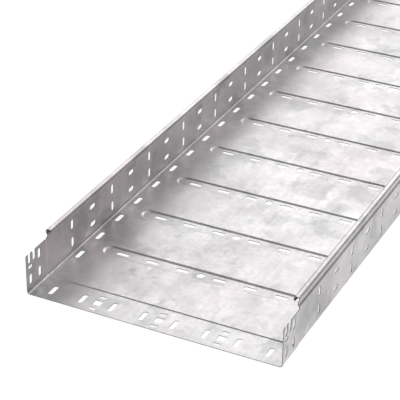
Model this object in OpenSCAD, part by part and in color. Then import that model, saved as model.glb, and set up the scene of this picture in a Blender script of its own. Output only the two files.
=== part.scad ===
// Perforated cable tray: one roll-formed and punched sheet with a joggled joining end.
// X runs along the tray, with the joining end at -X, Y across it and Z up.
// The origin is the middle of the length and width, on the level the cross ribs stand on.

/* [Body] */
// Number of cross ribs, which sets the length
rib_count = 32; // [2:1:40]
// Distance between two cross ribs
rib_pitch = 92; // [88:1:110]
// Plain length from each end of the body to the first punched station
end_margin = 56; // [50:1:70]
// Outside width
tray_width = 300; // [220:10:400]
// Outside height of the sides
side_height = 60; // [60:1:110]
// Sheet thickness
sheet = 0.75; // [0.6:0.15:0.75]
// Inside radius of the folds between base and sides
fold_radius = 2; // [1:0.25:2.5]

/* [Rim] */
// Outside radius of the curled rim
curl_radius = 3.6; // [3:0.3:3.6]
// Depth of the snap groove below the curl
groove_depth = 1.5; // [1.2:0.3:1.8]
// Height of the flat at the bottom of the groove
groove_flat = 2.7; // [2:0.1:3.5]
// Mean radius of the groove's bends
groove_bend = 0.9; // [0.6:0.3:1.2]
// Angle the rim curls through
curl_turn = 270; // [240:15:300]

/* [Ribs] */
// Depth of the pressed cross ribs
rib_depth = 1.3; // [1.3:0.3:1.9]
// Width of a rib at the base
rib_width = 20.8; // [18:0.2:22]
// Distance from the side to the half-round end of a rib
rib_end_gap = 27; // [26:1:36]
// Mean radius of the bends along a rib's flanks
rib_bend = 2.5; // [1.6:0.3:2.5]

/* [Punching] */
// Width of the slots
slot_width = 5.5; // [4:0.5:6]
// Length of the slots beside the folds and in the joining end
edge_slot_length = 17; // [12:1:20]
// Distance of the slots beside the folds from the outside of the side
edge_slot_inset = 9.5; // [8.5:0.5:12]
// Length of the slots across the ribs
rib_slot_length = 16; // [10:1:20]
// Distance of the innermost rib slots from the middle
rib_slot_first = 22.6; // [20:0.2:24]
// Distance between rib slots
rib_slot_pitch = 37.6; // [32:0.2:40]
// Diameter of the hole in the middle of each rib
centre_hole = 9.5; // [6:0.5:10]
// Length of the slots in the sides
wall_slot_length = 12; // [8:0.5:14]
// Height of the lower row of side slots
wall_row_low = 14.3; // [13:0.1:16]
// Height of the upper row of side slots
wall_row_high = 36.8; // [34:0.1:37]

/* [Joining end] */
// Length of the joining end
join_length = 40; // [38:1:46]
// Offset of the joining end, out and down, so that the next tray lies in it
join_offset = 0.8; // [0.8:0.05:1]
// Length of the joggle between the joining end and the body
joggle_length = 1.4; // [1.2:0.1:2]
// Height of the joining end's sides below the rim's top
join_drop = 13.5; // [13:0.5:14.5]
// Distance of the outermost slots of the joining end from the outside of the side
join_slot_inset = 21.2; // [18:0.2:24]
// Side of the square holes
square_hole = 9.5; // [7:0.5:10]
// Length of the small slots
small_slot_length = 8.5; // [7:0.5:10]
// Width of the small slots
small_slot_width = 4; // [3:0.5:5]
// Distance of the small slots from the squares
small_slot_gap = 11.6; // [10.5:0.1:12]
// Width of the notches between the fingers
notch_width = 5; // [4:0.5:5]
// Height of the notches' ends above the base
notch_height = 34.4; // [33.6:0.2:36]
// Radius of the front finger's outer corner
front_corner = 3; // [1:0.5:3.5]
// Radius of the other fingers' corners
finger_corner = 1.8; // [1:0.2:1.8]

/* [Hidden] */
$fn = 64;

station_pitch = rib_pitch / 2;
station_count = 2 * rib_count;
body_length = 2 * end_margin + (station_count - 1) * station_pitch;
first_rib = end_margin + station_pitch / 2;
// the flanks of the ribs and of the groove lean 3 in 4
flank_angle = atan(3 / 4);
fold_outer = fold_radius + sheet;
fold_mean = fold_radius + sheet / 2;
base_flat = tray_width - 2 * fold_outer;
rib_reach = tray_width / 2 - rib_end_gap;
rib_straight = rib_reach - rib_width / 2;
rib_flank = (rib_depth - 2 * rib_bend * (1 - cos(flank_angle))) / sin(flank_angle);
rib_flank_run = 2 * rib_bend * sin(flank_angle) + rib_flank * cos(flank_angle);
rib_slot_room = rib_straight - rib_slot_length / 2;
rib_slot_sides = 1 + floor((rib_slot_room - rib_slot_first) / rib_slot_pitch);
join_top = side_height - join_drop;
join_slots = 8;
join_pitch = (tray_width - 2 * join_slot_inset) / (join_slots - 1);
join_middle = -0.54 * join_length;
join_rear_column = -0.335 * join_length;
join_front_column = -0.8 * join_length;
notch_columns = [-0.835 * join_length, -0.6 * join_length];
curl_mean = curl_radius - sheet / 2;
// the groove's flanks run from the wall to its bottom, and on to the curl,
// which is flush with the wall
bend_depth = groove_bend * (1 - cos(flank_angle));
bend_rise = groove_bend * sin(flank_angle);
curl_depth = curl_mean * (1 - cos(flank_angle));
low_flank = (groove_depth - 2 * bend_depth) / sin(flank_angle);
high_flank = (groove_depth - bend_depth - curl_depth) / sin(flank_angle);
groove_rise = 3 * bend_rise + groove_flat + (low_flank + high_flank) * cos(flank_angle);
wall_top = side_height - curl_radius - curl_mean * sin(flank_angle) - groove_rise;
// how far the punches reach through the sheet
past = 5;

// the side, as steps of [length, 0] for a flat and [mean radius, turn] for a bend
side_steps = [
    [fold_mean, 90],
    [wall_top - fold_outer, 0],
    [groove_bend, flank_angle],
    [low_flank, 0],
    [groove_bend, -flank_angle],
    [groove_flat, 0],
    [groove_bend, -flank_angle],
    [high_flank, 0],
    [curl_mean, curl_turn]
];

join_steps = [
    [fold_mean + join_offset, 90],
    [join_top - fold_outer, 0]
];

// half a rib, from its middle up to the base
rib_steps = [
    [rib_width / 2 - rib_flank_run, 0],
    [rib_bend, flank_angle],
    [rib_flank, 0],
    [rib_bend, -flank_angle]
];

module wedge(turn, far) {
    polygon([[0, 0], [far, 0], [far, far * tan(turn / 2)], [far * cos(turn), far * sin(turn)]]);
}

module ring(radius) {
    difference() {
        circle(r = radius + sheet / 2);
        circle(r = radius - sheet / 2);
    }
}

// part of a ring that starts on the x axis and turns by the given angle
module bend(radius, turn) {
    far = 2 * (radius + sheet);
    if (turn < 180)
        intersection() {
            ring(radius);
            wedge(turn, far);
        }
    else
        difference() {
            ring(radius);
            rotate(turn)
                wedge(360 - turn, far);
        }
}

// the sheet's section, laid down step by step from where the last one ends
module fold(steps, at = 0) {
    if (at < len(steps)) {
        size = steps[at][0];
        turn = steps[at][1];
        if (turn == 0) {
            translate([0, -sheet / 2])
                square([size, sheet]);
            translate([size, 0])
                fold(steps, at + 1);
        } else {
            side = sign(turn);
            mirror([0, side < 0 ? 1 : 0, 0])
                translate([0, size])
                    rotate(-90)
                        bend(size, abs(turn));
            translate([size * sin(abs(turn)), side * size * (1 - cos(turn))])
                rotate(turn)
                    fold(steps, at + 1);
        }
    }
}

module section(steps, drop) {
    translate([-base_flat / 2, -drop])
        square([base_flat, sheet]);
    for (side = [0, 1])
        mirror([side, 0])
            translate([base_flat / 2, sheet / 2 - drop])
                fold(steps);
}

// stands a section up in YZ and runs it along X
module run(length) {
    rotate([90, 0, 90])
        linear_extrude(length)
            children();
}

// the ramp between the joining end and the body: base, folds and sides
module joggle() {
    wall_side = tray_width / 2;
    rotate([90, 0, 0])
        linear_extrude(base_flat, center = true)
            polygon([[0, -join_offset], [joggle_length, 0],
                     [joggle_length, sheet], [0, sheet - join_offset]]);
    for (side = [0, 1])
        mirror([0, side, 0]) {
            translate([0, base_flat / 2, fold_outer])
                rotate([90, 0, 90])
                    rotate(-90)
                        rotate_extrude(angle = 90)
                            polygon([[fold_radius + join_offset, 0], [fold_outer + join_offset, 0],
                                     [fold_outer, joggle_length], [fold_radius, joggle_length]]);
            translate([0, 0, fold_outer])
                linear_extrude(join_top - fold_outer)
                    polygon([[0, wall_side + join_offset], [joggle_length, wall_side],
                             [joggle_length, wall_side - sheet], [0, wall_side - sheet + join_offset]]);
        }
}

module half_rib() {
    translate([0, sheet / 2 - rib_depth])
        fold(rib_steps);
}

// the straight length of every rib
module rib_troughs() {
    rotate([90, 0, 0])
        linear_extrude(2 * rib_straight, center = true)
            at_ribs()
                for (side = [0, 1])
                    mirror([side, 0])
                        half_rib();
}

// the half-round ends of every rib
module rib_ends() {
    for (rib = [0 : rib_count - 1], end = [0, 1])
        translate([first_rib + rib * rib_pitch, 0, 0])
            mirror([0, end, 0])
                translate([0, rib_straight, 0])
                    rotate_extrude(angle = 180)
                        half_rib();
}

module at_ribs() {
    for (rib = [0 : rib_count - 1])
        translate([first_rib + rib * rib_pitch, 0, 0])
            children();
}

module slot(length, width) {
    square([length - width, width], center = true);
    for (end = [-1, 1])
        translate([end * (length - width) / 2, 0])
            circle(d = width);
}

module through_base() {
    translate([0, 0, -past])
        linear_extrude(2 * past)
            children();
}

module rib_punching() {
    circle(d = centre_hole);
    for (side = [-1, 1], number = [0 : rib_slot_sides - 1])
        translate([0, side * (rib_slot_first + number * rib_slot_pitch)])
            rotate(90)
                slot(rib_slot_length, slot_width);
}

module edge_punching() {
    for (station = [0 : station_count - 1], side = [-1, 1])
        translate([end_margin + station * station_pitch, side * (tray_width / 2 - edge_slot_inset)])
            slot(edge_slot_length, slot_width);
}

module join_base_punching() {
    for (number = [0 : join_slots - 1])
        translate([join_middle, (number - (join_slots - 1) / 2) * join_pitch])
            slot(edge_slot_length, slot_width);
    for (group = [-1 : 1])
        translate([join_middle, group * 2 * join_pitch]) {
            square(square_hole, center = true);
            for (end = [-1, 1])
                translate([end * small_slot_gap, 0])
                    rotate(90)
                        slot(small_slot_length, small_slot_width);
        }
}

// both rows of side slots, upright and level by turns
module wall_punching() {
    for (station = [0 : station_count - 1], height = [wall_row_low, wall_row_high])
        translate([end_margin + station * station_pitch, height])
            rotate(station % 2 == 0 ? 90 : 0)
                slot(wall_slot_length, slot_width);
}

// what is cut away to round a corner at the origin
module corner_cut(radius) {
    difference() {
        square(2 * radius, center = true);
        translate([radius, -radius])
            circle(r = radius);
    }
}

module join_wall_punching() {
    for (place = [[join_rear_column, wall_row_low], [join_rear_column, wall_row_high],
                  [join_front_column, wall_row_low]])
        translate(place)
            rotate(90)
                slot(wall_slot_length, slot_width);
    translate([join_front_column, (wall_row_low + wall_row_high) / 2 + small_slot_width])
        slot(small_slot_length, small_slot_width);
    for (column = notch_columns)
        translate([column, notch_height + notch_width / 2]) {
            circle(d = notch_width);
            translate([-notch_width / 2, 0])
                square([notch_width, side_height]);
        }
    translate([-join_length, join_top])
        corner_cut(front_corner);
    for (column = notch_columns)
        translate([column + notch_width / 2, join_top])
            corner_cut(finger_corner);
    translate([notch_columns[1] - notch_width / 2, join_top])
        mirror([1, 0])
            corner_cut(finger_corner);
}

// the sheet from end to end, open where the ribs go
module plain_sheet() {
    difference() {
        union() {
            translate([joggle_length, 0, 0])
                run(body_length - joggle_length)
                    section(side_steps, 0);
            joggle();
            translate([-join_length, 0, 0])
                run(join_length)
                    section(join_steps, join_offset);
        }
        through_base()
            at_ribs()
                rotate(90)
                    slot(2 * rib_reach, rib_width);
    }
}

module punched_sheet() {
    difference() {
        union() {
            plain_sheet();
            rib_troughs();
        }
        through_base() {
            at_ribs()
                rib_punching();
            edge_punching();
            join_base_punching();
        }
        rotate([90, 0, 0])
            linear_extrude(2 * tray_width, center = true) {
                wall_punching();
                join_wall_punching();
            }
    }
}

module tray() {
    color("silver")
        translate([(join_length - body_length) / 2, 0, rib_depth]) {
            punched_sheet();
            rib_ends();
        }
}

tray();
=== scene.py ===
# Perforated cable tray: mottled galvanised sheet steel on a pale studio floor.
import math

import bpy
from mathutils import Matrix, Vector


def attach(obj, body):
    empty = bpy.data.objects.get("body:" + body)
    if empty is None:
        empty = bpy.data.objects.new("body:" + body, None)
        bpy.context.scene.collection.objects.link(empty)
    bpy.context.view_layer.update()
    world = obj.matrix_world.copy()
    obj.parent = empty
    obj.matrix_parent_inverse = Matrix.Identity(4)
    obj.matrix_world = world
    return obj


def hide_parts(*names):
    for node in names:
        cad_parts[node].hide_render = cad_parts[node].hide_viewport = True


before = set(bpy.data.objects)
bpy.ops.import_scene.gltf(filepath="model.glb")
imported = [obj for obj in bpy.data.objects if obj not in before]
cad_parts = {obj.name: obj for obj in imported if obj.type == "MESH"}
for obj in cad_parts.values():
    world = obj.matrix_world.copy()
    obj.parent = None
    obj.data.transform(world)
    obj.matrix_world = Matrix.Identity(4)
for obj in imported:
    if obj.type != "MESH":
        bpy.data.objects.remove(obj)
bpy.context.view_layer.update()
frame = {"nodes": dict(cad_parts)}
scene = bpy.context.scene
print("frame loaded:", ", ".join(frame["nodes"]))


def emptyTree(owner):
    owner.use_nodes = True
    owner.node_tree.nodes.clear()
    return owner.node_tree


# an input that is given another node's socket is linked, any other value is set on it
def addNode(tree, kind, place, inputs=None, **settings):
    node = tree.nodes.new(kind)
    node.location = place
    for name, value in settings.items():
        setattr(node, name, value)
    for name, value in (inputs or {}).items():
        if isinstance(value, bpy.types.NodeSocket):
            tree.links.new(value, node.inputs[name])
        else:
            node.inputs[name].default_value = value
    return node


# the sheet itself: a merged copy of the CAD tray, so that its bends shade as one skin
sheetMetal = {
    "mergeGap": 0.000004,
    "smoothAngle": 20,      # degrees, keeps the joggle, the ribs and the punched edges crisp
    "flatWeight": 100,      # flats stay flat beside the bends
    "baseTop": 0.0022,      # the base and its ribs lie below this height
    "wallFoot": 0.0041,     # the folds end here
    "wallTop": 0.0490,      # the rim starts here
    "wallInside": 0.1475,   # half the width that counts as base
    "acrossSheet": 0.1,     # a punched face's normal leans less than this out of the sheet
    "alongTray": 0.99,      # an end face's normal lies more than this along the tray
}


def makeTraySheet():
    bpy.ops.object.select_all(action="DESELECT")
    tray = bpy.data.objects.new("traySheet", frame["nodes"]["tray"].data.copy())
    scene.collection.objects.link(tray)
    bpy.context.view_layer.objects.active = tray
    tray.select_set(True)
    bpy.ops.object.mode_set(mode="EDIT")
    bpy.ops.mesh.select_all(action="SELECT")
    bpy.ops.mesh.customdata_custom_splitnormals_clear()
    bpy.ops.mesh.remove_doubles(threshold=sheetMetal["mergeGap"])
    bpy.ops.object.mode_set(mode="OBJECT")
    bpy.ops.object.shade_smooth_by_angle(angle=math.radians(sheetMetal["smoothAngle"]))
    flatten = tray.modifiers.new("flatFaces", "WEIGHTED_NORMAL")
    flatten.mode = "FACE_AREA"
    flatten.weight = sheetMetal["flatWeight"]
    flatten.keep_sharp = True
    bpy.ops.object.modifier_apply(modifier=flatten.name)
    return tray


# marks the cut faces, which get bare steel darkened as painted shade, and a rougher finish
def markCutEdges(tray):
    mesh = tray.data
    cutEdge = mesh.attributes.new("cutEdge", "FLOAT", "FACE")
    for face in mesh.polygons:
        normal, place = face.normal, face.center
        onBase = place.z < sheetMetal["baseTop"] and abs(place.y) < sheetMetal["wallInside"]
        onWall = sheetMetal["wallFoot"] < place.z < sheetMetal["wallTop"]
        inBase = onBase and abs(normal.z) < sheetMetal["acrossSheet"]
        inWall = onWall and abs(normal.y) < sheetMetal["acrossSheet"]
        atEnd = abs(normal.x) > sheetMetal["alongTray"]
        cutEdge.data[face.index].value = 1.0 if inBase or inWall or atEnd else 0.0


# galvanised coat: broad clouds, ragged dull patches, flakes and crystals, rolling lines
zinc = {
    "cloudTones": [(0.34, (0.545, 0.527, 0.533, 1)), (0.46, (0.618, 0.597, 0.604, 1)),
                   (0.54, (0.662, 0.640, 0.648, 1)), (0.66, (0.728, 0.704, 0.712, 1))],
    "cloudScale": 17,
    "cloudSeed": 54.4,
    "cloudDetail": 4.0,
    "cloudRoughness": 0.53,
    "warm": (1.0, 0.978, 0.987, 1),
    "cool": (0.972, 0.985, 0.979, 1),
    "driftScale": 9,
    "driftSeed": 23.8,
    "driftDetail": 2.0,
    "driftSpan": (0.4, 0.6),
    "raggedScale": 75,
    "raggedDetail": 3.0,
    "raggedBy": 0.012,      # metres that the edges of clouds and flakes wander
    "patch": (0.835, 0.853, 0.848, 1),
    "patchScale": 24,
    "patchSeed": 11.9,
    "patchDetail": 3.0,
    "patchRoughness": 0.5,
    "patchSpan": (0.555, 0.605),
    "flake": (0.915, 0.915, 0.915, 1),
    "flakeScale": 85,
    "crystal": (0.952, 0.952, 0.952, 1),
    "crystalScale": 240,
    # the cut faces' colour: bare steel, darkened as painted shade
    "cut": (0.20, 0.20, 0.205, 1),
    "lineStretch": (3, 420, 420),    # few waves in x, so the lines run along the tray
    "lineDetail": 3.0,
    "crystalGloss": 0.35,   # what the crystals add to the lines' gloss
    "glossSpan": (0.35, 0.95),
    "roughLow": 0.39,
    "roughHigh": 0.49,
    "roughCut": 0.60,
    "reliefStrength": 0.08,
    "reliefHeight": 0.0002,
}


# edges wander, so that neither clouds nor flakes look drawn
def addWander(tree, here):
    wander = addNode(tree, "ShaderNodeTexNoise", (-1700, -300), {
        "Vector": here, "Scale": zinc["raggedScale"], "Detail": zinc["raggedDetail"]})
    ragged = addNode(tree, "ShaderNodeVectorMath", (-1400, -150), {
        0: wander.outputs["Color"], 1: [zinc["raggedBy"]] * 3, 2: here}, operation="MULTIPLY_ADD")
    return ragged.outputs["Vector"]


# cells with a random colour each, split into its channels
def addCells(tree, place, where, scale):
    cells = addNode(tree, "ShaderNodeTexVoronoi", place, {"Vector": where, "Scale": scale})
    beside = (place[0] + 300, place[1])
    return addNode(tree, "ShaderNodeSeparateColor", beside, {"Color": cells.outputs["Color"]})


# a tint over what lies under it, as strong as the factor says
def addLayer(tree, place, factor, under, tint):
    layer = addNode(tree, "ShaderNodeMix", place, {
        "Factor": factor, "A": under, "B": tint}, data_type="RGBA", blend_type="MULTIPLY")
    return layer.outputs["Result"]


# clouds, some sixty millimetres across, that drift slowly between a warm and a cool grey
def addClouds(tree, here, ragged):
    clouds = addNode(tree, "ShaderNodeTexNoise", (-1100, 600), {
        "Vector": ragged, "W": zinc["cloudSeed"], "Scale": zinc["cloudScale"],
        "Detail": zinc["cloudDetail"], "Roughness": zinc["cloudRoughness"]}, noise_dimensions="4D")
    tone = addNode(tree, "ShaderNodeValToRGB", (-800, 600), {"Fac": clouds.outputs["Fac"]})
    stops = tone.color_ramp.elements
    for at, _ in zinc["cloudTones"][1:-1]:
        stops.new(at)       # a new ramp has its first and last stop already
    for stop, (at, colour) in zip(stops, zinc["cloudTones"]):
        stop.position = at
        stop.color = colour
    drift = addNode(tree, "ShaderNodeTexNoise", (-1100, 300), {
        "Vector": here, "W": zinc["driftSeed"], "Scale": zinc["driftScale"],
        "Detail": zinc["driftDetail"]}, noise_dimensions="4D")
    cooler = addNode(tree, "ShaderNodeMapRange", (-800, 300), {
        "Value": drift.outputs["Fac"], "From Min": zinc["driftSpan"][0], "From Max": zinc["driftSpan"][1]})
    hue = addNode(tree, "ShaderNodeMix", (-500, 300), {
        "Factor": cooler.outputs["Result"], "A": zinc["warm"], "B": zinc["cool"]}, data_type="RGBA")
    return addLayer(tree, (-200, 450), 1.0, tone.outputs["Color"], hue.outputs["Result"])


# where the duller patches lie, with clear edges
def addPatches(tree, ragged):
    patches = addNode(tree, "ShaderNodeTexNoise", (-1100, 0), {
        "Vector": ragged, "W": zinc["patchSeed"], "Scale": zinc["patchScale"],
        "Detail": zinc["patchDetail"], "Roughness": zinc["patchRoughness"]}, noise_dimensions="4D")
    edged = addNode(tree, "ShaderNodeMapRange", (-800, 0), {
        "Value": patches.outputs["Fac"], "From Min": zinc["patchSpan"][0], "From Max": zinc["patchSpan"][1]})
    return edged.outputs["Result"]


# rolling lines along the length, with the crystals' own gloss added
def addGloss(tree, here, grain):
    stretch = addNode(tree, "ShaderNodeMapping", (-1100, -900), {
        "Vector": here, "Scale": zinc["lineStretch"]})
    lines = addNode(tree, "ShaderNodeTexNoise", (-800, -900), {
        "Vector": stretch.outputs["Vector"], "Scale": 1.0, "Detail": zinc["lineDetail"]})
    gloss = addNode(tree, "ShaderNodeMath", (-500, -300), {
        0: grain, 1: zinc["crystalGloss"], 2: lines.outputs["Fac"]}, operation="MULTIPLY_ADD")
    return gloss.outputs["Value"]


def makeZinc():
    material = bpy.data.materials.new("galvanisedZinc")
    tree = emptyTree(material)
    here = addNode(tree, "ShaderNodeTexCoord", (-1700, 0)).outputs["Object"]
    cut = addNode(tree, "ShaderNodeAttribute", (700, 750), attribute_name="cutEdge").outputs["Fac"]
    ragged = addWander(tree, here)
    flakes = addCells(tree, (-1100, -300), ragged, zinc["flakeScale"])        # a centimetre across
    crystals = addCells(tree, (-1100, -600), here, zinc["crystalScale"])      # a few millimetres

    tone = addClouds(tree, here, ragged)
    tone = addLayer(tree, (100, 450), addPatches(tree, ragged), tone, zinc["patch"])
    tone = addLayer(tree, (400, 450), flakes.outputs["Red"], tone, zinc["flake"])
    tone = addLayer(tree, (700, 450), crystals.outputs["Red"], tone, zinc["crystal"])
    gloss = addGloss(tree, here, crystals.outputs["Green"])
    satin = addNode(tree, "ShaderNodeMapRange", (-200, -150), {
        "Value": gloss, "From Min": zinc["glossSpan"][0], "From Max": zinc["glossSpan"][1],
        "To Min": zinc["roughLow"], "To Max": zinc["roughHigh"]})

    # bare steel where the sheet is cut, its colour painted far darker than steel as painted shade on these
    # thin faces
    colour = addNode(tree, "ShaderNodeMix", (1000, 450), {
        "Factor": cut, "A": tone, "B": zinc["cut"]}, data_type="RGBA")
    roughness = addNode(tree, "ShaderNodeMix", (700, 0), {
        "Factor": cut, "A": satin.outputs["Result"], "B": zinc["roughCut"]}, data_type="FLOAT")
    relief = addNode(tree, "ShaderNodeBump", (700, -400), {
        "Height": gloss, "Strength": zinc["reliefStrength"], "Distance": zinc["reliefHeight"]})
    shader = addNode(tree, "ShaderNodeBsdfPrincipled", (1500, 0), {
        "Metallic": 1.0, "Base Color": colour.outputs["Result"],
        "Roughness": roughness.outputs["Result"], "Normal": relief.outputs["Normal"]})
    addNode(tree, "ShaderNodeOutputMaterial", (1800, 0), {"Surface": shader.outputs["BSDF"]})
    return material


tray = makeTraySheet()
markCutEdges(tray)
tray.data.materials.clear()
tray.data.materials.append(makeZinc())
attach(tray, "root")
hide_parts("tray")
print("tray sheet dressed:", len(tray.data.polygons), "faces")


# pale floor, white to the eye and in reflections, with a soft shadow left on it
studioFloor = {"size": 60, "paint": (0.8, 0.8, 0.8, 1), "lift": 0.88, "shadowPaint": (0.2, 0.2, 0.2, 1)}


def makeFloor():
    bpy.ops.object.select_all(action="DESELECT")
    bpy.ops.mesh.primitive_plane_add(size=studioFloor["size"])
    floor = bpy.context.object
    floor.name = "studioFloor"
    material = bpy.data.materials.new("paleFloor")
    tree = emptyTree(material)
    plain = addNode(tree, "ShaderNodeBsdfDiffuse", (-200, 200), {"Color": studioFloor["paint"]})
    shaded = addNode(tree, "ShaderNodeBsdfDiffuse", (-200, 0), {"Color": studioFloor["shadowPaint"]})
    glow = addNode(tree, "ShaderNodeEmission", (-200, -200), {"Strength": studioFloor["lift"]})
    white = addNode(tree, "ShaderNodeAddShader", (100, -100), {
        0: shaded.outputs["BSDF"], 1: glow.outputs["Emission"]})
    rays = addNode(tree, "ShaderNodeLightPath", (-600, 400))
    seen = addNode(tree, "ShaderNodeMath", (-400, 400), {
        0: rays.outputs["Is Camera Ray"], 1: rays.outputs["Is Glossy Ray"]}, operation="MAXIMUM")
    direct = addNode(tree, "ShaderNodeMath", (-200, 400), {
        0: seen.outputs["Value"], 1: rays.outputs["Is Transmission Ray"]}, operation="MAXIMUM")
    choice = addNode(tree, "ShaderNodeMixShader", (350, 0), {
        "Fac": direct.outputs["Value"], 1: plain.outputs["BSDF"], 2: white.outputs["Shader"]})
    addNode(tree, "ShaderNodeOutputMaterial", (600, 0), {"Surface": choice.outputs["Shader"]})
    floor.data.materials.append(material)


# soft studio light: a dim room with a few broad boxes, the brightest beyond the tray's far end
studioLight = {
    "room": 0.02,
    "core": 1 / 6,          # share of a box's reach that has its full level
    "boxes": {              # azimuth, elevation, reach (degrees), level
        "key": (-12, 30, 28, 2.5),
        "beyond": (22, 29, 28, 2.2),
        "beyondLeft": (46, 18, 32, 1.0),
        "high": (-25, 56, 32, 0.5),
        "left": (100, 30, 40, 1.0),
        "right": (-100, 28, 36, 1.2),
        "highRight": (-95, 62, 30, 1.2),
        "behind": (-150, 38, 38, 1.7),
        "behindLeft": (170, 40, 42, 0.5),
    },
}


def skyDirection(azimuth, elevation):
    turn, lift = math.radians(azimuth), math.radians(elevation)
    return math.cos(turn) * math.cos(lift), math.sin(turn) * math.cos(lift), math.sin(lift)


def makeLight():
    world = bpy.data.worlds.new("studioRoom")
    scene.world = world
    tree = emptyTree(world)
    sky = addNode(tree, "ShaderNodeTexCoord", (-600, 0)).outputs["Generated"]
    level = studioLight["room"]     # each box adds its light to what is there
    for row, (azimuth, elevation, reach, bright) in enumerate(studioLight["boxes"].values()):
        core = reach * studioLight["core"]
        towards = addNode(tree, "ShaderNodeVectorMath", (-300, -300 * row), {
            0: sky, 1: skyDirection(azimuth, elevation)}, operation="DOT_PRODUCT")
        box = addNode(tree, "ShaderNodeMapRange", (0, -300 * row), {
            "Value": towards.outputs["Value"], "From Min": math.cos(math.radians(reach)),
            "From Max": math.cos(math.radians(core)), "To Max": bright}, interpolation_type="SMOOTHSTEP")
        total = addNode(tree, "ShaderNodeMath", (300 + 60 * row, -300 * row), {
            0: level, 1: box.outputs["Result"]}, operation="ADD")
        level = total.outputs["Value"]
    background = addNode(tree, "ShaderNodeBackground", (800, 0), {"Strength": level})
    addNode(tree, "ShaderNodeOutputWorld", (1100, 0), {"Surface": background.outputs["Background"]})


makeFloor()
makeLight()
print("studio lit")


# the camera, fitted to the photograph's view
viewpoint = {
    "location": (-2.7485, -0.6533, 0.9389),
    "looking": (0.78269, 0.38208, -0.49133),
    "roll": 0.66,           # degrees
    "lens": 143.5,
    "sensor": 36,           # millimetres, as the lens
    "clipEnd": 200,
}


def makeCamera():
    lens = bpy.data.cameras.new("viewpoint")
    lens.sensor_width = viewpoint["sensor"]
    lens.lens = viewpoint["lens"]
    lens.clip_end = viewpoint["clipEnd"]
    camera = bpy.data.objects.new("viewpoint", lens)
    scene.collection.objects.link(camera)
    turn = Vector(viewpoint["looking"]).to_track_quat("-Z", "Y").to_matrix().to_4x4()
    turn = turn @ Matrix.Rotation(math.radians(viewpoint["roll"]), 4, "Z")
    camera.matrix_world = Matrix.Translation(viewpoint["location"]) @ turn
    scene.camera = camera


makeCamera()
scene.view_settings.view_transform = "Standard"
print("camera set")

bpy.context.view_layer.update()
